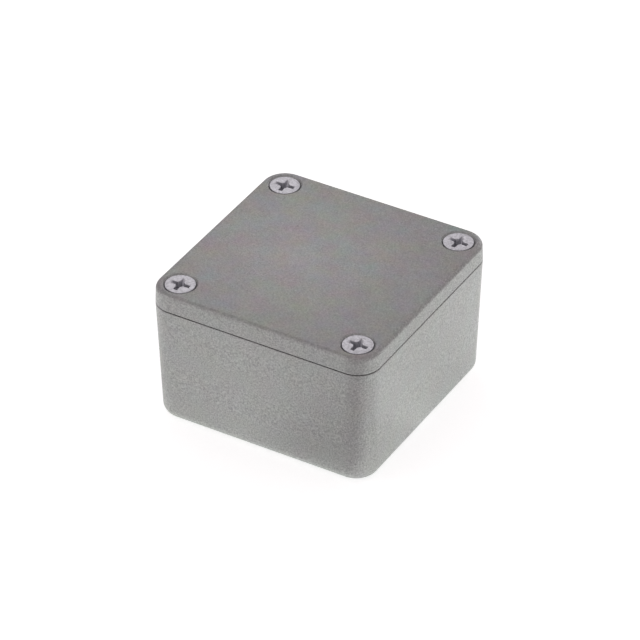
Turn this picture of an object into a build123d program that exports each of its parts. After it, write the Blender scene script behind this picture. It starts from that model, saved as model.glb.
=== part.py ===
from build123d import *
from math import cos, radians, tan
import os

# A small die-cast aluminium box: a cast base, a cast lid and four countersunk screws.
# Lengths are in millimetres and angles in degrees. The origin is the middle of the underside,
# with +Z up, +X to the right and -Y to the front.

# The outside of the box
box_width = 50.5
box_depth = 50.5
base_height = 27.0
lid_height = 4.0
corner_radius = 5.0
outside_draft_angle = 1.6
underside_radius = 2.2
lid_edge_radius = 1.0

# The seam: the lid sits on a low pad round each screw hole, so a fine gap shows all round
seam_gap = 0.16
seam_edge_radius = 0.2
pad_radius = 3.4

# The inside of the base
wall = 2.2
floor_thickness = 2.2
inside_draft_angle = 2.0
post_radius = 4.2
inside_corner_radius = 1.0
floor_radius = 0.8

# The inside of the lid, with the tongue that drops into the base
lid_plate = 2.2
tongue_depth = 1.2
tongue_width = 1.1
tongue_clearance = 0.2
tongue_lead = 0.3

# The round marks that the die's ejector pins leave on the inside faces
ejector_mark_diameter = 4.0
ejector_mark_depth = 0.15
ejector_mark_spacing = 24.0

# The screws
screw_inset = 5.0
screw_length = 12.7
thread_diameter = 3.5
point_chamfer = 0.5
head_diameter = 6.2
head_angle = 82.0
head_rim = 0.4
head_edge_chamfer = 0.08
head_sink = 0.15

# The cross recess in each head
recess_diameter = 4.3
recess_depth = 1.7
recess_wall_angle = 26.5
recess_tip_depth = 0.3
wing_width = 0.95
recess_middle_diameter = 1.9
recess_middle_angle = 6.0

# The holes for the screws: each head lies just below the lid's top, in a countersink of its own angle
lid_hole_clearance = 0.2
thread_clearance = 0.05
seat_clearance = 0.05
tapped_hole_depth = 11.0
tapped_hole_mouth = 0.3

# How far each recess happens to be turned from square, and the corner each screw stands in
screws = {
    "screw_front_left": (-1, -1, 2),
    "screw_front_right": (1, -1, -3),
    "screw_back_right": (1, 1, -4),
    "screw_back_left": (-1, 1, 3),
}

# Sizes that follow from those above
box_height = base_height + lid_height
rim_height = base_height - seam_gap
lid_ceiling = box_height - lid_plate
opening_width = box_width - 2 * wall
opening_depth = box_depth - 2 * wall
screw_span_x = box_width - 2 * screw_inset
screw_span_y = box_depth - 2 * screw_inset
head_slope = tan(radians(head_angle / 2))
head_radius = head_diameter / 2
thread_radius = thread_diameter / 2
head_cone_depth = (head_radius - thread_radius) / head_slope
lid_hole_radius = thread_radius + lid_hole_clearance
countersink_radius = head_radius + seat_clearance + head_slope * (head_sink + head_rim)
tapped_hole_radius = thread_radius + thread_clearance
recess_foot_radius = recess_diameter / 2 - recess_depth * tan(radians(recess_wall_angle))


def opening_outline(height, inset):
    """The mouth of the base in plan, drawn in by inset: a square with a round post in each corner."""
    around_post = post_radius + inset
    with BuildSketch(Plane.XY.offset(height)) as outline:
        Rectangle(opening_width - 2 * inset, screw_span_y - 2 * around_post)
        Rectangle(screw_span_x - 2 * around_post, opening_depth - 2 * inset)
        corners = outline.vertices().sort_by_distance((0, 0, height))
        fillet(corners[:4], around_post)
        wall_corners = outline.vertices().sort_by_distance((0, 0, height))[-8:]
        fillet(wall_corners, inside_corner_radius)
    return outline.sketch


# Drafted walls keep their full size in the plane given and lean in along the way that it faces
facing_down_at_rim = -Plane.XY.offset(rim_height)
facing_up_at_lid = Plane.XY.offset(base_height)
facing_up_at_tongue = Plane.XY.offset(base_height - tongue_depth)

# The die's core for the base, which narrows from the rim down to the floor
with BuildPart() as base_core:
    extrude(opening_outline(rim_height, 0), amount=floor_thickness - rim_height)
    core_sides = base_core.faces().filter_by(Axis.Z, reverse=True)
    draft(core_sides, facing_down_at_rim, inside_draft_angle)
    fillet(base_core.faces().sort_by(Axis.Z)[0].edges(), floor_radius)

# The base: its walls lean in towards the underside, so that the casting leaves the die
with BuildPart() as base:
    with BuildSketch(Plane.XY):
        Rectangle(box_width, box_depth)
    extrude(amount=rim_height)
    walls = base.faces().filter_by(Axis.Z, reverse=True)
    draft(walls, facing_down_at_rim, outside_draft_angle)
    fillet(base.edges().filter_by(Plane.XY, reverse=True), corner_radius)
    fillet(base.faces().sort_by(Axis.Z)[0].edges(), underside_radius)
    fillet(base.faces().sort_by(Axis.Z)[-1].edges(), seam_edge_radius)
    add(base_core.part, mode=Mode.SUBTRACT)
    with BuildSketch(Plane.XY.offset(rim_height)) as pads:
        with GridLocations(screw_span_x, screw_span_y, 2, 2):
            Circle(pad_radius)
    extrude(amount=seam_gap)
    with Locations((0, 0, base_height)):
        with GridLocations(screw_span_x, screw_span_y, 2, 2):
            CounterSinkHole(
                tapped_hole_radius,
                tapped_hole_radius + tapped_hole_mouth,
                depth=tapped_hole_depth,
                counter_sink_angle=90,
            )
    with Locations((0, 0, floor_thickness)):
        with GridLocations(ejector_mark_spacing, ejector_mark_spacing, 2, 2):
            Cylinder(
                ejector_mark_diameter / 2,
                ejector_mark_depth,
                align=(Align.CENTER, Align.CENTER, Align.MAX),
                mode=Mode.SUBTRACT,
            )
base.part.label = "base"

# The die's core for the lid, which hollows it up to the plate and leaves the tongue standing
with BuildPart() as lid_core:
    tongue_inside = opening_outline(base_height - tongue_depth, tongue_clearance + tongue_width)
    extrude(tongue_inside, amount=lid_ceiling - base_height + tongue_depth)
    core_sides = lid_core.faces().filter_by(Axis.Z, reverse=True)
    draft(core_sides, facing_up_at_tongue, inside_draft_angle)

# The lid: a shallow tray, its tongue, and over each post a countersunk hole
with BuildPart() as lid:
    with BuildSketch(Plane.XY.offset(base_height)):
        Rectangle(box_width, box_depth)
    extrude(amount=lid_height)
    walls = lid.faces().filter_by(Axis.Z, reverse=True)
    draft(walls, facing_up_at_lid, outside_draft_angle)
    fillet(lid.edges().filter_by(Plane.XY, reverse=True), corner_radius)
    fillet(lid.faces().sort_by(Axis.Z)[-1].edges(), lid_edge_radius)
    fillet(lid.faces().sort_by(Axis.Z)[0].edges(), seam_edge_radius)
    extrude(opening_outline(base_height, tongue_clearance), amount=-tongue_depth)
    chamfer(lid.faces().sort_by(Axis.Z)[0].edges(), tongue_lead)
    add(lid_core.part, mode=Mode.SUBTRACT)
    with Locations((0, 0, box_height)):
        with GridLocations(screw_span_x, screw_span_y, 2, 2):
            CounterSinkHole(lid_hole_radius, countersink_radius, counter_sink_angle=head_angle)
    with Locations((0, 0, lid_ceiling)):
        with GridLocations(ejector_mark_spacing, ejector_mark_spacing, 2, 2):
            Cylinder(
                ejector_mark_diameter / 2,
                ejector_mark_depth,
                align=(Align.CENTER, Align.CENTER, Align.MIN),
                mode=Mode.SUBTRACT,
            )
lid.part.label = "lid"

# The driver's recess: four wings with sloping ends, and a blunt hole in the middle
with BuildPart() as recess:
    with BuildSketch(Plane.XZ):
        with BuildLine():
            Polyline(
                (0, 0),
                (recess_diameter / 2, 0),
                (recess_foot_radius, -recess_depth),
                (0, -recess_depth - recess_tip_depth),
                close=True,
            )
        make_face()
    revolve(axis=Axis.Z)
    with BuildSketch(Plane.XY):
        Rectangle(recess_diameter, wing_width)
        Rectangle(wing_width, recess_diameter)
    extrude(amount=-recess_depth - recess_tip_depth, mode=Mode.INTERSECT)
    with BuildSketch(Plane.XY):
        Circle(recess_middle_diameter / 2)
    extrude(amount=-recess_depth, taper=recess_middle_angle)

# One screw, with the middle of its head's top at the origin
with BuildPart() as screw:
    with BuildSketch(Plane.XZ):
        with BuildLine():
            Polyline(
                (0, 0),
                (head_radius - head_edge_chamfer, 0),
                (head_radius, -head_edge_chamfer),
                (head_radius, -head_rim),
                (thread_radius, -head_rim - head_cone_depth),
                (thread_radius, -screw_length + point_chamfer),
                (thread_radius - point_chamfer, -screw_length),
                (0, -screw_length),
                close=True,
            )
        make_face()
    revolve(axis=Axis.Z)
    add(recess.part, mode=Mode.SUBTRACT)

os.makedirs("parts", exist_ok=True)
export_step(base.part, "parts/base.step")
export_step(lid.part, "parts/lid.step")

for name, (side_x, side_y, turn) in screws.items():
    head_middle = (side_x * screw_span_x / 2, side_y * screw_span_y / 2, box_height - head_sink)
    with BuildPart(Plane(head_middle).rotated((0, 0, turn))) as placed_screw:
        add(screw.part)
    placed_screw.part.label = name
    export_step(placed_screw.part, f"parts/{name}.step")
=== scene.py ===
# %% [markdown]
# A small die-cast aluminium box, dressed for a photograph.
#
# The solids of the base, the lid and the four screws come ready made, at their real size. This
# script gives the two castings their finish, and makes what is too fine for the solids: the
# threads on the screws and in the holes that they turn into. Everything is in metres, with +Z up,
# +X to the right and -Y to the front, so a real size in millimetres is written as 4.0 * MM.

# %% Load the solids
from math import cos, pi, radians, sin, tan

import bmesh
import bpy
from mathutils import Matrix, Vector


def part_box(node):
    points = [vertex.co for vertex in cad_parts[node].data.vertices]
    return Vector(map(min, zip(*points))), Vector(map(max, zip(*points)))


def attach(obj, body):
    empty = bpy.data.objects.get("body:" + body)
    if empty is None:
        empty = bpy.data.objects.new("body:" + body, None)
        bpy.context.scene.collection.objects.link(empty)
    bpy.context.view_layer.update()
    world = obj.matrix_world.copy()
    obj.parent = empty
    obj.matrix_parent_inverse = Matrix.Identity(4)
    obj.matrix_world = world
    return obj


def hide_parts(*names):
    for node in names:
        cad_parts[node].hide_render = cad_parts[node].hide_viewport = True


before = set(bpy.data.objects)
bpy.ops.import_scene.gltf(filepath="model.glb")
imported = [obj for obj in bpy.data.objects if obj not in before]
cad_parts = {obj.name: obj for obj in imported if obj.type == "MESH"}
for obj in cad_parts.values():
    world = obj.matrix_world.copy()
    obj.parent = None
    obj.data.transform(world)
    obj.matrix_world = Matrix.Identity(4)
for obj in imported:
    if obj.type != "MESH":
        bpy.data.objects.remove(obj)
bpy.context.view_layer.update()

MM = 0.001

# %% [markdown]
# The camera stands where the photographer stood. A product photograph like this one is taken with
# a long lens from nearly a metre away, so the far edges of the box shrink only a little. A lens of
# 240 mm on a 36 mm sensor does the same. The place is given as a direction and a distance from a
# point inside the box, which is easier to adjust than three coordinates.

# %% Place the camera
CAMERA_AZIMUTH = 30.38
CAMERA_ELEVATION = 35.709
CAMERA_ROLL = -0.137
CAMERA_DISTANCE = 858.8 * MM
AIM_POINT = Vector((-0.506, 0.683, 16.175)) * MM


def direction(azimuth, elevation):
    """The way to something seen from the box, in degrees. Azimuth 0 is the front and 90 the right."""
    level = cos(radians(elevation))
    return Vector((sin(radians(azimuth)) * level, -cos(radians(azimuth)) * level, sin(radians(elevation))))


camera_data = bpy.data.cameras.new("camera")
camera_data.sensor_width = 36.0
camera_data.lens = 239.97
camera_data.clip_end = 10.0
camera = bpy.data.objects.new("camera", camera_data)
bpy.context.scene.collection.objects.link(camera)
towards_camera = direction(CAMERA_AZIMUTH, CAMERA_ELEVATION)
upright = towards_camera.to_track_quat("Z", "Y")
camera.rotation_mode = "QUATERNION"
camera.rotation_quaternion = upright @ Matrix.Rotation(radians(CAMERA_ROLL), 3, "Z").to_quaternion()
camera.location = AIM_POINT + towards_camera * CAMERA_DISTANCE
bpy.context.scene.camera = camera
print("the camera is at", [round(v, 3) for v in camera.location])

# %% [markdown]
# A colour picker shows sRGB values, but light adds up in linear values, and Blender's sockets want
# the linear ones. One function turns a hex colour into them, and every colour below goes through it.
#
# A material is a tree of nodes. A second function makes a material whose tree is empty, and a third
# adds one node to a tree, with its settings and its links, so that each node below is one call.


# %% Write colours as they are seen
def linear(hex_colour):
    """The linear red, green, blue and alpha of an sRGB colour such as '8F8F8D'."""
    channels = [int(hex_colour[i : i + 2], 16) / 255 for i in (0, 2, 4)]
    lit = [c / 12.92 if c <= 0.04045 else ((c + 0.055) / 1.055) ** 2.4 for c in channels]
    return (*lit, 1.0)


print("middle grey, 808080, is", round(linear("808080")[0], 3), "in linear light")


# %% Start a material, and add its nodes
def bare_material(name):
    """A material with an empty tree of nodes, and that tree."""
    material = bpy.data.materials.new(name)
    material.use_nodes = True
    material.node_tree.nodes.clear()
    return material, material.node_tree


def add(tree, kind, links=None, **settings):
    """Adds a node. Each setting is a property of the node, or the value of one of its inputs.

    links says which output feeds which input, as {"Scale": other.outputs["Value"]}. An input with
    a space in its name is written with an underscore.
    """
    node = tree.nodes.new(kind)
    for name, value in settings.items():
        if hasattr(node, name):
            setattr(node, name, value)
    for name, value in settings.items():
        if not hasattr(node, name):
            node.inputs[name.replace("_", " ")].default_value = value
    for name, output in (links or {}).items():
        tree.links.new(output, node.inputs[name])
    return node


# %% [markdown]
# The box stands on a large sheet of white paper, in a dim room, with soft lamps round it. Bare
# metal has no colour of its own to scatter: what the eye sees in it is the paper and the lamps,
# blurred. The walls lean out over the paper, so they show it and look bright, while the top shows
# the dim room above and looks darker. The rounded edges are the darkest of all.
#
# The photograph's background is pure white. It gets there without more light on the box: the room
# is white for rays that come straight from the camera, and dim for all others.

# %% Light the room
ROOM_COLOUR = "FFF9FA"
ROOM_STRENGTH = 0.56

world = bpy.data.worlds.new("dim_room")
world.use_nodes = True
world.node_tree.nodes.clear()
ray = add(world.node_tree, "ShaderNodeLightPath")
room = add(
    world.node_tree, "ShaderNodeBackground", Color=linear(ROOM_COLOUR), Strength=ROOM_STRENGTH
)
backdrop = add(world.node_tree, "ShaderNodeBackground", Color=linear("FFFFFF"), Strength=1.0)
seen = add(
    world.node_tree,
    "ShaderNodeMixShader",
    {0: ray.outputs["Is Camera Ray"], 1: room.outputs[0], 2: backdrop.outputs[0]},
)
add(world.node_tree, "ShaderNodeOutputWorld", {"Surface": seen.outputs[0]})
bpy.context.scene.world = world
print("the room lights the box at", ROOM_STRENGTH, "of the white behind it")

# %% [markdown]
# What the metal shows of the paper isn't the same all round. The right-hand wall of the real box
# is much the brighter, and its front right corner, towards the camera, is dim, because the
# photographer stands there. So the paper near the box glows for the rays that the metal reflects,
# by an amount that goes round with the direction from the box, and that fades away further out. A
# radial gradient gives the direction, and a spherical one the distance.
#
# Each direction has its place on one turn, from 0 to 1, which starts at the left and goes round by
# the front, and the strength of the glow there.

# %% Choose how the paper glows
GLOW_ROUND_THE_BOX = {
    "left": (0.0, 1.0),
    "front left": (0.12, 0.38),
    "front": (0.22, 0.57),
    "just right of the front": (0.29, 0.17),
    "front right": (0.38, 0.12),
    "past the front right": (0.412, 0.68),
    "just before the right": (0.452, 0.4),
    "right": (0.5, 1.0),
    "just past the right": (0.58, 0.58),
    "back right": (0.64, 1.05),
    "back": (0.75, 0.9),
    "back left": (0.87, 0.7),
    "left again": (1.0, 1.0),
}
GLOW_FULL_UP_TO = 90.0 * MM
GLOW_REACH = 150.0 * MM
GLOW_IN_VIEW = 0.6
print("the glow is chosen in", len(GLOW_ROUND_THE_BOX), "directions")

# %% Send the glow round the box
paper, paper_tree = bare_material("white_paper")
spot = add(paper_tree, "ShaderNodeTexCoord").outputs["Object"]
way = add(paper_tree, "ShaderNodeTexGradient", {"Vector": spot}, gradient_type="RADIAL")
round_the_box = add(paper_tree, "ShaderNodeValToRGB", {"Fac": way.outputs["Fac"]})
stops = round_the_box.color_ramp.elements
while len(stops) < len(GLOW_ROUND_THE_BOX):
    stops.new(1.0)
for stop, (position, strength) in zip(stops, GLOW_ROUND_THE_BOX.values()):
    stop.position = position
    stop.color = (strength, strength, strength, 1.0)

shrunk = add(paper_tree, "ShaderNodeMapping", {"Vector": spot}, Scale=[1 / GLOW_REACH] * 3)
nearness = add(
    paper_tree, "ShaderNodeTexGradient", {"Vector": shrunk.outputs[0]}, gradient_type="SPHERICAL"
)
fade = add(
    paper_tree,
    "ShaderNodeMapRange",
    {"Value": nearness.outputs["Fac"]},
    From_Max=1 - GLOW_FULL_UP_TO / GLOW_REACH,
)
around = add(
    paper_tree,
    "ShaderNodeMath",
    {0: round_the_box.outputs["Color"], 1: fade.outputs["Result"]},
    operation="MULTIPLY",
)
print("the glow has", len(stops), "stops and ends", round(GLOW_REACH / MM), "mm out")

# %% [markdown]
# Close to the foot of the box the paper is bright on every side, which lights the round edge
# underneath. This strip is square, as the box is: the larger of a spot's two distances from the
# middle, to the side and to the front, says how far out it is. The strip is a little wider to the
# sides than to the front, so the distance to the side is squeezed first.

# %% Brighten the paper at the foot
FOOT_GLOW = 0.78
FOOT_STRIP_START = 25.5 * MM
FOOT_STRIP_END = 29.5 * MM
SIDEWAYS_SQUEEZE = 0.86

squeezed = add(paper_tree, "ShaderNodeMapping", {"Vector": spot}, Scale=[SIDEWAYS_SQUEEZE, 1.0, 1.0])
either_side = add(
    paper_tree, "ShaderNodeVectorMath", {0: squeezed.outputs[0]}, operation="ABSOLUTE"
)
across = add(paper_tree, "ShaderNodeSeparateXYZ", {"Vector": either_side.outputs["Vector"]})
out_from_middle = add(
    paper_tree,
    "ShaderNodeMath",
    {0: across.outputs["X"], 1: across.outputs["Y"]},
    operation="MAXIMUM",
)
at_the_foot = add(
    paper_tree,
    "ShaderNodeMapRange",
    {"Value": out_from_middle.outputs["Value"]},
    From_Min=FOOT_STRIP_START,
    From_Max=FOOT_STRIP_END,
    To_Min=FOOT_GLOW,
    To_Max=0.0,
)
glow_strength = add(
    paper_tree,
    "ShaderNodeMath",
    {0: around.outputs["Value"], 1: at_the_foot.outputs["Result"]},
    operation="MAXIMUM",
)
print("the strip at the foot ends", round(FOOT_STRIP_END / MM, 1), "mm from the middle")

# %% [markdown]
# The sheet itself is plain white paper, which scatters light evenly and takes the soft shadow of
# the box. A glow is added to it, for two kinds of rays only. Rays that come straight from the
# camera meet a weak one, so the paper shows as white as the room behind it. Rays that the metal
# reflects meet the one from the cells above.

# %% Mix the paper
ray = add(paper_tree, "ShaderNodeLightPath")
sheet = add(paper_tree, "ShaderNodeBsdfDiffuse", Color=linear("F2F2F2"))
no_glow = add(paper_tree, "ShaderNodeEmission", Strength=0.0)
glow_in_view = add(paper_tree, "ShaderNodeEmission", Color=linear("FFFFFF"), Strength=GLOW_IN_VIEW)
glow_in_metal = add(
    paper_tree,
    "ShaderNodeEmission",
    {"Strength": glow_strength.outputs["Value"]},
    Color=linear("F9FFFA"),
)
in_view = add(
    paper_tree,
    "ShaderNodeMixShader",
    {0: ray.outputs["Is Camera Ray"], 1: no_glow.outputs[0], 2: glow_in_view.outputs[0]},
)
in_metal = add(
    paper_tree,
    "ShaderNodeMixShader",
    {0: ray.outputs["Is Glossy Ray"], 1: in_view.outputs[0], 2: glow_in_metal.outputs[0]},
)
both = add(paper_tree, "ShaderNodeAddShader", {0: sheet.outputs[0], 1: in_metal.outputs[0]})
add(paper_tree, "ShaderNodeOutputMaterial", {"Surface": both.outputs[0]})
print("the paper has", len(paper_tree.nodes), "nodes")

# %% Lay the sheet
SHEET_SIZE = 4000.0 * MM

bpy.ops.mesh.primitive_plane_add(size=SHEET_SIZE)
table = bpy.context.object
table.name = "table"
table.data.materials.append(paper)
print("the sheet is", SHEET_SIZE, "m square")

# %% [markdown]
# Three soft lamps do the rest. Two stand low, behind the box and at its front left, and touch the
# rounded edges and the walls. A small one hangs close by at the back left, just where the top
# reflects towards the camera, and gives the top its gentle change from left to right.


# %% Hang the lamps
def soft_lamp(name, azimuth, elevation, distance, diameter, watts):
    """A round lamp that faces the box. The distance and the diameter are in metres."""
    data = bpy.data.lights.new(name, "AREA")
    data.shape = "DISK"
    data.size = diameter
    data.energy = watts
    lamp = bpy.data.objects.new(name, data)
    bpy.context.scene.collection.objects.link(lamp)
    away = direction(azimuth, elevation)
    lamp.location = AIM_POINT + away * distance
    lamp.rotation_mode = "QUATERNION"
    lamp.rotation_quaternion = away.to_track_quat("Z", "Y")
    print(name, "hangs", round(lamp.location.z, 2), "m up and has", watts, "W")


soft_lamp("lamp_behind", azimuth=180, elevation=10, distance=0.7, diameter=0.35, watts=0.5)
soft_lamp("lamp_front_left", azimuth=315, elevation=10, distance=0.7, diameter=0.35, watts=0.47)
soft_lamp("lamp_close_back_left", azimuth=220, elevation=38, distance=0.26, diameter=0.12, watts=0.028)

# %% [markdown]
# Cast aluminium, tumbled. The base and the lid are pressure castings in an aluminium and silicon
# alloy, tumbled with ceramic chips after the flash is trimmed. That leaves a bare grey metal skin
# with no polish: thousands of tiny dents less than half a millimetre across, with finer pits in
# them, which scatter light so widely that the metal looks almost like grey stone. It is a metal all
# the same, so it is metallic, with a high roughness, and the dents are a bump map and a faint
# change of tone. The alloy also cools in slightly different tones, which show as warm and cool
# clouds a few millimetres across.
#
# The flat top rubs against the chips more evenly than the walls do, so its dents are fainter. That
# lets the clouds show, and dull patches half a millimetre across, where a chip rubbed longer. The
# lid is a casting of its own, a shade darker than the base. Its top has a painted highlight: it is
# painted paler in the middle than at the edges. One function makes the metal of either casting.

# %% Size the dents of the castings
DENT_SIZE = 0.32 * MM
DENT_DEPTH = 0.12 * MM
PIT_SIZE = 0.13 * MM
PIT_DEPTH = 0.025 * MM
CLOUD_SIZE = 5.0 * MM
PATCH_SIZE = 0.55 * MM
PATCH_STRENGTH = 0.16
WALL_TINT = 0.04
TOP_EVENNESS = 0.4
# The middle and the reach of the painted highlight on the lid's top
HIGHLIGHT_MIDDLE = Vector((-5.0, 0.0, 31.0)) * MM
HIGHLIGHT_REACH = 34.0 * MM
print("a square centimetre has about", round((10.0 * MM / DENT_SIZE) ** 2, -2), "dents")


# %% Cast aluminium, tumbled
def cast_aluminium(name, dark, light, tint, top_highlight):
    """The metal of one casting, whose dents run from a dark tone to a light one.

    tint is how strong the warm and cool clouds are on faces that look up. The last argument is a
    painted highlight: how much paler such a face is painted in the middle of the lid, and darker far from
    it.
    """
    material, tree = bare_material(name)
    place = add(tree, "ShaderNodeTexCoord").outputs["Object"]
    dents = add(tree, "ShaderNodeTexNoise", {"Vector": place}, Scale=1 / DENT_SIZE, Detail=3.0)
    pits = add(tree, "ShaderNodeTexNoise", {"Vector": place}, Scale=1 / PIT_SIZE, Detail=1.0)
    clouds = add(tree, "ShaderNodeTexNoise", {"Vector": place}, Scale=1 / CLOUD_SIZE, Detail=5.0)
    patches = add(tree, "ShaderNodeTexNoise", {"Vector": place}, Scale=1 / PATCH_SIZE, Detail=1.0)

    # How much a face looks up, from 0 on the walls to 1 on the top
    facing = add(tree, "ShaderNodeNewGeometry")
    way_up = add(tree, "ShaderNodeSeparateXYZ", {"Vector": facing.outputs["Normal"]})
    flatness = add(
        tree, "ShaderNodeMapRange", {"Value": way_up.outputs["Z"]}, From_Min=0.6, From_Max=0.98
    ).outputs["Result"]
    evenness = add(tree, "ShaderNodeMapRange", {"Value": flatness}, To_Max=TOP_EVENNESS)
    cloudiness = add(tree, "ShaderNodeMapRange", {"Value": flatness}, To_Min=WALL_TINT, To_Max=tint)

    # The tone of the dents, and the clouds over it
    tone = add(tree, "ShaderNodeValToRGB", {"Fac": dents.outputs["Fac"]})
    tone.color_ramp.elements[0].position = 0.3
    tone.color_ramp.elements[0].color = linear(dark)
    tone.color_ramp.elements[1].position = 0.7
    tone.color_ramp.elements[1].color = linear(light)
    evened = add(
        tree,
        "ShaderNodeMixRGB",
        {"Fac": evenness.outputs["Result"], "Color1": tone.outputs["Color"]},
        Color2=[(a + b) / 2 for a, b in zip(linear(dark), linear(light))],
    )
    clouded = add(
        tree,
        "ShaderNodeMixRGB",
        {
            "Fac": cloudiness.outputs["Result"],
            "Color1": evened.outputs["Color"],
            "Color2": clouds.outputs["Color"],
        },
        blend_type="OVERLAY",
    )

    # The painted highlight in the middle and the patches, on the top alone
    from_middle = add(
        tree,
        "ShaderNodeMapping",
        {"Vector": place},
        Location=-HIGHLIGHT_MIDDLE / HIGHLIGHT_REACH,
        Scale=[1 / HIGHLIGHT_REACH] * 3,
    )
    highlight_falloff = add(tree, "ShaderNodeTexGradient", {"Vector": from_middle.outputs[0]}, gradient_type="SPHERICAL")
    highlighted = add(
        tree, "ShaderNodeMapRange", {"Value": highlight_falloff.outputs["Fac"]}, To_Min=1 - top_highlight, To_Max=1 + top_highlight
    )
    patchy = add(
        tree,
        "ShaderNodeMapRange",
        {"Value": patches.outputs["Fac"]},
        To_Min=-PATCH_STRENGTH,
        To_Max=PATCH_STRENGTH,
    )
    value = add(
        tree, "ShaderNodeMath", {0: highlighted.outputs["Result"], 1: patchy.outputs["Result"]}, operation="ADD"
    )
    coloured = add(
        tree,
        "ShaderNodeHueSaturation",
        {"Color": clouded.outputs["Color"], "Value": value.outputs["Value"], "Fac": flatness},
    )

    # The shine, the dents and the pits
    shine = add(tree, "ShaderNodeMapRange", {"Value": clouds.outputs["Fac"]}, To_Min=0.46, To_Max=0.52)
    dented = add(
        tree, "ShaderNodeBump", {"Height": dents.outputs["Fac"]}, Strength=1.0, Distance=DENT_DEPTH
    )
    pitted = add(
        tree,
        "ShaderNodeBump",
        {"Height": pits.outputs["Fac"], "Normal": dented.outputs["Normal"]},
        Strength=0.6,
        Distance=PIT_DEPTH,
    )
    metal = add(
        tree,
        "ShaderNodeBsdfPrincipled",
        {
            "Base Color": coloured.outputs["Color"],
            "Roughness": shine.outputs["Result"],
            "Normal": pitted.outputs["Normal"],
        },
        Metallic=1.0,
    )
    add(tree, "ShaderNodeOutputMaterial", {"Surface": metal.outputs["BSDF"]})
    return material


# %% Give the castings their metal
castings = {
    "base": cast_aluminium("tumbled_cast_aluminium", "959595", "BFBFBE", tint=0.05, top_highlight=0.0),
    # the lid's last number is the strength of the painted highlight on its top
    "lid": cast_aluminium("tumbled_cast_aluminium_lid", "929292", "BCBCBB", tint=0.16, top_highlight=0.11),
}
for node, aluminium in castings.items():
    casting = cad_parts[node]
    casting.data.materials.clear()
    casting.data.materials.append(aluminium)
    print("the", node, "is", aluminium.name)

# %% [markdown]
# Zinc-plated steel. The screws are cold-formed in steel, then barrel plated with bright zinc. The
# plating is smooth, pale and faintly blue, and far brighter than the castings. Rubbing against
# other screws in the barrel leaves small dull patches, so its shine is uneven.
#
# Inside a recess the zinc has painted light and shade. The sloping ends get a paler, smoother
# zinc, a painted highlight. The upright sides and the foot get a duller, darker zinc, painted
# shade.

# %% Zinc-plated steel
RUB_SIZE = 0.45 * MM
RUB_DEPTH = 0.03 * MM

zinc, zinc_tree = bare_material("zinc_plated_steel")
place = add(zinc_tree, "ShaderNodeTexCoord").outputs["Object"]
rubs = add(zinc_tree, "ShaderNodeTexNoise", {"Vector": place}, Scale=1 / RUB_SIZE, Detail=3.0)
tone = add(zinc_tree, "ShaderNodeValToRGB", {"Fac": rubs.outputs["Fac"]})
tone.color_ramp.elements[0].position = 0.35
tone.color_ramp.elements[0].color = linear("C7C7CC")
tone.color_ramp.elements[1].position = 0.65
tone.color_ramp.elements[1].color = linear("E8E8EE")
shine = add(
    zinc_tree, "ShaderNodeMapRange", {"Value": rubs.outputs["Fac"]}, To_Min=0.46, To_Max=0.62
)
rubbed = add(
    zinc_tree, "ShaderNodeBump", {"Height": rubs.outputs["Fac"]}, Strength=0.4, Distance=RUB_DEPTH
)
metal = add(
    zinc_tree,
    "ShaderNodeBsdfPrincipled",
    {
        "Base Color": tone.outputs["Color"],
        "Roughness": shine.outputs["Result"],
        "Normal": rubbed.outputs["Normal"],
    },
    Metallic=1.0,
)
add(zinc_tree, "ShaderNodeOutputMaterial", {"Surface": metal.outputs["BSDF"]})
print("the outside of a screw is", zinc.name)

# %% Zinc inside a recess, with painted light and shade
# A paler zinc paints a highlight on the recess slopes, and a darker one paints shade in the depth
PAINTED_LIGHT_AND_SHADE_IN_A_RECESS = {
    "zinc_on_the_recess_slopes": {"Base_Color": linear("F8F8FC"), "Roughness": 0.45},
    "thin_zinc_in_the_recess": {"Base_Color": linear("C0C0C5"), "Roughness": 0.5},
}
zincs = [zinc]
for name, look in PAINTED_LIGHT_AND_SHADE_IN_A_RECESS.items():
    material, tree = bare_material(name)
    metal = add(tree, "ShaderNodeBsdfPrincipled", Metallic=1.0, **look)
    add(tree, "ShaderNodeOutputMaterial", {"Surface": metal.outputs["BSDF"]})
    zincs.append(material)
HIGHLIGHTED_SLOPES, SHADED_DEPTH = 1, 2
print("the screws have", [material.name for material in zincs])

# %% [markdown]
# The four screws are alike: 6.2 mm across an 82 degree countersunk head, and half an inch long in
# all, with 32 threads to the inch. On the real screw the head is struck from wire, the cross
# recess is punched, and the thread is rolled on. Here one screw is made in the same three steps,
# in millimetres, with the middle of its head's top at the origin, and four copies are put in place.
#
# Whatever is round is a profile spun about the Z axis. A full spin ends where it began, so the two
# ends are merged, and points on the axis are merged too.

# %% Size the screw, in millimetres
HEAD_DIAMETER = 6.2
HEAD_ANGLE = 82.0
HEAD_RIM = 0.4
HEAD_EDGE_RADIUS = 0.08
NECK_DIAMETER = 2.9
NECK_TAPER = 0.35
SCREW_LENGTH = 12.7
POINT_EDGE = 0.1
POINT_CHAMFER = 0.5
THREAD_DIAMETER = 3.48
THREAD_DEPTH = 0.48
THREAD_PITCH = 25.4 / 32

head_radius = HEAD_DIAMETER / 2
neck_radius = NECK_DIAMETER / 2
neck_height = -HEAD_RIM - (head_radius - neck_radius) / tan(radians(HEAD_ANGLE / 2))
crest_radius = THREAD_DIAMETER / 2
root_radius = crest_radius - THREAD_DEPTH
print("the head ends", round(-neck_height, 2), "mm down, and the thread's root is", root_radius, "mm out")

# %% Spin round shapes
AXIS = Vector((0, 0, 1))


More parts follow.
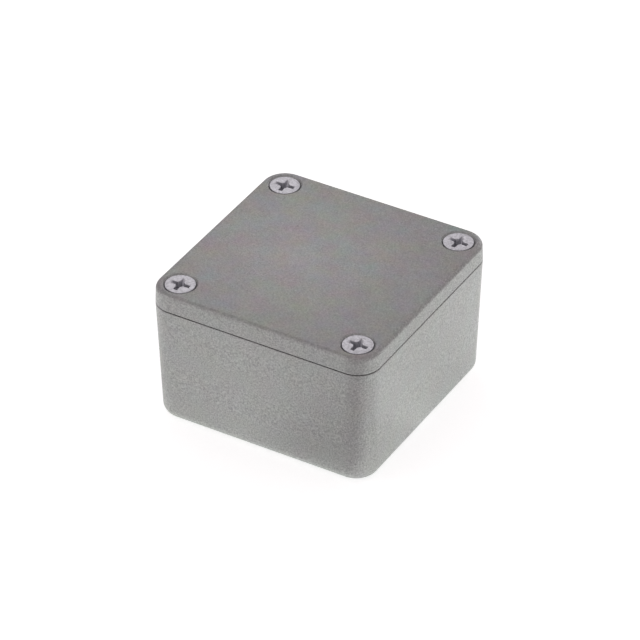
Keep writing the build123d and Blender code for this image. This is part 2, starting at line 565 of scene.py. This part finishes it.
def revolve(profile, steps=72):
    """A closed round shape from the radius and height of the points of its profile."""
    shape = bmesh.new()
    points = [shape.verts.new((radius, 0, height)) for radius, height in profile]
    lines = [shape.edges.new(pair) for pair in zip(points, points[1:])]
    bmesh.ops.spin(
        shape, geom=points + lines, cent=(0, 0, 0), axis=AXIS, angle=2 * pi, steps=steps, use_merge=True
    )
    bmesh.ops.remove_doubles(shape, verts=shape.verts, dist=0.0001)
    bmesh.ops.recalc_face_normals(shape, faces=shape.faces)
    return shape


def round_off(shape, edges, radius):
    """Rounds the edges given."""
    bmesh.ops.bevel(
        shape,
        geom=edges,
        offset=radius,
        segments=3,
        profile=0.5,
        affect="EDGES",
        material=-1,
    )


# %% Form the head and the shank
screw = revolve(
    [
        (0, 0),
        (head_radius, 0),
        (head_radius, -HEAD_RIM),
        (neck_radius, neck_height),
        (root_radius, neck_height - NECK_TAPER),
        (root_radius, -SCREW_LENGTH + POINT_EDGE),
        (root_radius - POINT_EDGE, -SCREW_LENGTH),
        (0, -SCREW_LENGTH),
    ]
)
bmesh.ops.dissolve_limit(screw, angle_limit=radians(0.1), verts=screw.verts, edges=screw.edges)
head_edge = [
    edge
    for edge in screw.edges
    if all(v.co.z > -0.001 and v.co.xy.length > head_radius - 0.01 for v in edge.verts)
]
round_off(screw, head_edge, HEAD_EDGE_RADIUS)
print("the blank has", len(screw.faces), "faces")

# %% [markdown]
# The recess is punched by a tool with four wings, whose ends slope at 26.5 degrees, and a round
# middle. The wings are two flat blades set crosswise. Each part of the punch is taken out of the
# head by a Boolean modifier, which is applied at once. The middle goes first: taking out one part
# at a time keeps each cut a simple one. It is turned by a few degrees, so that none of its many
# sides lies along a blade.

# %% Size the punch, in millimetres
RECESS_DIAMETER = 4.3
RECESS_DEPTH = 1.7
RECESS_TIP = 0.15
RECESS_SLOPE = tan(radians(26.5))
RECESS_MOUTH_RADIUS = 0.07
WING_WIDTH = 0.95
WING_FOOT_WIDTH = 0.8
MIDDLE_RADIUS = 0.95
MIDDLE_SLOPE = tan(radians(6))
MIDDLE_TIP_RADIUS = 0.45
MIDDLE_DEPTH = 2.0
MIDDLE_TURN = radians(3.1)
ABOVE_HEAD = 0.5

wing_top = RECESS_DIAMETER / 2 + ABOVE_HEAD * RECESS_SLOPE
wing_foot = RECESS_DIAMETER / 2 - RECESS_DEPTH * RECESS_SLOPE
print("a wing of the punch reaches", round(wing_foot, 2), "mm out at its foot")


# %% Shape the punch
def blade(turn):
    """Two opposite wings of the punch, a little thinner at the foot."""
    outline = [
        (-wing_top, ABOVE_HEAD),
        (-wing_foot, -RECESS_DEPTH),
        (0, -RECESS_DEPTH - RECESS_TIP),
        (wing_foot, -RECESS_DEPTH),
        (wing_top, ABOVE_HEAD),
    ]
    shape = bmesh.new()
    face = shape.faces.new([shape.verts.new((x, -WING_WIDTH / 2, z)) for x, z in outline])
    pushed = bmesh.ops.extrude_face_region(shape, geom=[face])["geom"]
    far_side = [part for part in pushed if isinstance(part, bmesh.types.BMVert)]
    bmesh.ops.translate(shape, verts=far_side, vec=(0, WING_WIDTH, 0))
    lower = [v for v in shape.verts if v.co.z < 0]
    bmesh.ops.scale(shape, verts=lower, vec=(1, WING_FOOT_WIDTH / WING_WIDTH, 1))
    bmesh.ops.rotate(shape, verts=shape.verts, cent=(0, 0, 0), matrix=Matrix.Rotation(turn, 3, "Z"))
    bmesh.ops.recalc_face_normals(shape, faces=shape.faces)
    return shape


middle = revolve(
    [
        (0, ABOVE_HEAD),
        (MIDDLE_RADIUS + ABOVE_HEAD * MIDDLE_SLOPE, ABOVE_HEAD),
        (MIDDLE_RADIUS - RECESS_DEPTH * MIDDLE_SLOPE, -RECESS_DEPTH),
        (MIDDLE_TIP_RADIUS, -MIDDLE_DEPTH),
        (0, -MIDDLE_DEPTH),
    ],
    steps=48,
)
bmesh.ops.rotate(
    middle, verts=middle.verts, cent=(0, 0, 0), matrix=Matrix.Rotation(MIDDLE_TURN, 3, "Z")
)
print("the middle of the punch has", len(middle.faces), "faces")


# %% Join shapes and cut them
def combine(first, second, operation):
    """Joins or cuts two closed shapes, and gives the result as a new one."""
    parts = []
    for shape in (first, second):
        mesh = bpy.data.meshes.new("part")
        shape.to_mesh(mesh)
        shape.free()
        parts.append(bpy.data.objects.new("part", mesh))
        bpy.context.scene.collection.objects.link(parts[-1])
    modifier = parts[0].modifiers.new("combine", "BOOLEAN")
    modifier.operation = operation
    modifier.object = parts[1]
    modifier.solver = "EXACT"
    finished = parts[0].evaluated_get(bpy.context.evaluated_depsgraph_get())
    result = bmesh.new()
    result.from_mesh(finished.to_mesh())
    for part in parts:
        mesh = part.data
        bpy.data.objects.remove(part)
        bpy.data.meshes.remove(mesh)
    return result


# %% Punch the recess
for punch in (middle, blade(0), blade(pi / 2)):
    screw = combine(screw, punch, "DIFFERENCE")
bmesh.ops.dissolve_limit(screw, angle_limit=radians(0.5), verts=screw.verts, edges=screw.edges)
mouth = [
    edge
    for edge in screw.edges
    if all(abs(v.co.z) < 0.0001 and v.co.xy.length < RECESS_DIAMETER / 2 + 0.1 for v in edge.verts)
]
round_off(screw, mouth, RECESS_MOUTH_RADIUS)
print("the recess is cut, and its mouth has", len(mouth), "edges")

# %% [markdown]
# The thread is a ridge of four corners, broad at its foot and narrow at its crest, that climbs one
# pitch with each turn. A spin makes it as well, when every step also lifts the ridge a little. Its
# two open ends are filled. The foot is sunk a little into the shank, so that the two overlap, and
# the ridge is cut to a blank of the screw's outer shape, so that it fades out under the head and at
# the point as a rolled thread does. The blank is a hair wider than the crest and a hair shorter than
# the screw, so that no two faces lie on one another.


# %% Wind a thread
def helix(foot_radius, crest, foot_width, crest_width, bottom, top, steps_per_turn=36):
    """A ridge round the Z axis. It stands out or in, whichever side of the foot the crest is on."""
    shape = bmesh.new()
    corners = [
        (foot_radius, -foot_width / 2),
        (crest, -crest_width / 2),
        (crest, crest_width / 2),
        (foot_radius, foot_width / 2),
    ]
    section = [shape.verts.new((radius, 0, bottom + height)) for radius, height in corners]
    sides = [shape.edges.new((section[i - 1], section[i])) for i in range(4)]
    steps = round((top - bottom) / THREAD_PITCH * steps_per_turn)
    bmesh.ops.spin(
        shape,
        geom=section + sides,
        cent=(0, 0, 0),
        axis=AXIS,
        dvec=(0, 0, THREAD_PITCH / steps_per_turn),
        angle=2 * pi * steps / steps_per_turn,
        steps=steps,
    )
    bmesh.ops.holes_fill(shape, edges=[edge for edge in shape.edges if edge.is_boundary], sides=4)
    bmesh.ops.recalc_face_normals(shape, faces=shape.faces)
    return shape


# %% Size the thread, in millimetres
FLANK = tan(radians(30))
CREST_WIDTH = THREAD_PITCH / 8
SUNK = 0.06
THREAD_TOP = -1.7
THREAD_BOTTOM = -SCREW_LENGTH - 0.3
RUNOUT_RADIUS = 1.2
RUNOUT_TOP = neck_height + 0.1
RUNOUT_BOTTOM = neck_height - 0.5
SKIN = 0.002
BLANK_BOTTOM = -SCREW_LENGTH + 0.003

ridge_foot_width = CREST_WIDTH + 2 * (THREAD_DEPTH + SUNK) * FLANK
print("the ridge is", round(ridge_foot_width, 2), "mm wide at its foot")

# %% Roll the thread
ridge = helix(
    root_radius - SUNK,
    crest_radius,
    ridge_foot_width,
    CREST_WIDTH,
    THREAD_BOTTOM,
    THREAD_TOP,
)
blank = revolve(
    [
        (0, RUNOUT_TOP),
        (RUNOUT_RADIUS, RUNOUT_TOP),
        (crest_radius + SKIN, RUNOUT_BOTTOM),
        (crest_radius + SKIN, -SCREW_LENGTH + POINT_CHAMFER),
        (crest_radius - POINT_CHAMFER, BLANK_BOTTOM),
        (0, BLANK_BOTTOM),
    ]
)
ridge = combine(ridge, blank, "INTERSECT")
screw = combine(screw, ridge, "UNION")
open_edges = sum(not edge.is_manifold for edge in screw.edges)
print("the screw has", len(screw.faces), "faces and", open_edges, "open edges")

# %% [markdown]
# The faces inside the recess get the two other zincs: the painted highlight on the sloping ends,
# and the painted shade on the rest. They are the faces near the axis and below the rounded mouth.
# The sloping ends of the wings are told from the rest by the way they look: 26.5 degrees from
# upright gives their normals a Z of 0.45. A face that looks down is on the outside of the head,
# and keeps its own zinc.

# %% Paint light and shade into the recess
MOUTH_ENDS = -0.06
RECESS_ENDS = -MIDDLE_DEPTH - 0.1
STEEPEST_SLOPE = 0.3
FLATTEST_SLOPE = 0.6
LOOKS_DOWN = -0.1

# The slopes get the painted highlight, and the rest of the recess the painted shade
for face in screw.faces:
    centre = face.calc_center_median()
    in_recess = RECESS_ENDS < centre.z < MOUTH_ENDS and centre.xy.length < RECESS_DIAMETER / 2
    if in_recess and STEEPEST_SLOPE < face.normal.z < FLATTEST_SLOPE:
        face.material_index = HIGHLIGHTED_SLOPES
    elif in_recess and face.normal.z > LOOKS_DOWN:
        face.material_index = SHADED_DEPTH
for index in (HIGHLIGHTED_SLOPES, SHADED_DEPTH):
    print(sum(face.material_index == index for face in screw.faces), "faces have", zincs[index].name)

# %% [markdown]
# A finished piece is a mesh whose points are already in their place, so that its object can stay
# at the origin. It rides on the body that it moves with. The four recesses stopped at different
# angles when the screws were driven home, a few degrees from square.


# %% Finish a piece
def finished_piece(shape, name, materials, body):
    """Makes a piece of a shape that is already in its place, with soft shading on its rounds."""
    mesh = bpy.data.meshes.new(name)
    shape.to_mesh(mesh)
    for material in materials:
        mesh.materials.append(material)
    piece = bpy.data.objects.new(name, mesh)
    bpy.context.scene.collection.objects.link(piece)
    bpy.ops.object.select_all(action="DESELECT")
    bpy.context.view_layer.objects.active = piece
    piece.select_set(True)
    bpy.ops.object.shade_smooth_by_angle(angle=radians(30))
    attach(piece, body)
    return piece


# %% Put the four screws in
TURNS = {
    "screw_front_left": 2,
    "screw_front_right": -3,
    "screw_back_right": -4,
    "screw_back_left": 3,
}
places = {}
for name, turn in TURNS.items():
    low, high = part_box(name)
    top_middle = Vector(((low.x + high.x) / 2, (low.y + high.y) / 2, high.z))
    turned = Matrix.Rotation(radians(turn), 4, "Z")
    places[name] = Matrix.Translation(top_middle) @ turned @ Matrix.Scale(MM, 4)
    placed = screw.copy()
    bmesh.ops.transform(placed, matrix=places[name], verts=placed.verts)
    piece = finished_piece(placed, "threaded_" + name, zincs, name)
    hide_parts(name)
    placed.free()
    print(piece.name, "has its head's top at", round(top_middle.z / MM, 2), "mm")
screw.free()

# %% [markdown]
# The holes in the posts are tapped: a cutter leaves a ridge that stands in from the wall of the
# hole, and that ridge lies in the groove of the screw's own thread. It is wound with the same
# function, half a pitch out of step with the screw and a few hundredths of a millimetre clear of
# it. It shows only when the screws are out. Its foot is sunk in the wall of the drilled hole, and
# the top turn is cut away on a slope, as the countersunk mouth of a tapped hole is.

# %% Size the tapped thread, in millimetres
HOLE_RADIUS = 1.8
HOLE_BOTTOM = -14.85
HOLE_TOP = -4.15
FIT = 0.035
ROOT_CLEARANCE = 0.07
SUNK_IN_HOLE = 0.05

inner_radius = root_radius + ROOT_CLEARANCE
foot_radius = HOLE_RADIUS + SUNK_IN_HOLE
groove_at_crest = THREAD_PITCH - CREST_WIDTH - 2 * (crest_radius - inner_radius) * FLANK
tapped_crest_width = groove_at_crest - 2 * FIT
print("the tapped thread is", round(tapped_crest_width, 3), "mm wide at its crest")

# %% Cut the tapped thread
BORE_RADIUS = HOLE_RADIUS + 0.1
BORE_BOTTOM = HOLE_BOTTOM + 0.2
MOUTH_TOP = HOLE_TOP + 0.02
MOUTH_FOOT = HOLE_TOP - 0.1

tapped = helix(
    foot_radius,
    inner_radius,
    tapped_crest_width + 2 * (foot_radius - inner_radius) * FLANK,
    tapped_crest_width,
    THREAD_BOTTOM - 1.5 * THREAD_PITCH,
    HOLE_TOP + THREAD_PITCH,
)
bore = revolve(
    [
        (0, MOUTH_TOP - HOLE_RADIUS),
        (HOLE_RADIUS, MOUTH_TOP),
        (BORE_RADIUS, MOUTH_FOOT),
        (BORE_RADIUS, BORE_BOTTOM),
        (0, BORE_BOTTOM),
    ]
)
tapped = combine(tapped, bore, "INTERSECT")
print("a tapped thread has", len(tapped.faces), "faces")

# %% Tap the four holes
for name, place_in_box in places.items():
    placed = tapped.copy()
    bmesh.ops.transform(placed, matrix=place_in_box, verts=placed.verts)
    threads = name.replace("screw", "tapped_thread")
    finished_piece(placed, threads, [castings["base"]], "base")
    placed.free()
    print(threads, "is cut in the base")
tapped.free()

# %% [markdown]
# Everything is in place.

# %% Finish
bpy.context.scene.view_settings.view_transform = "Standard"
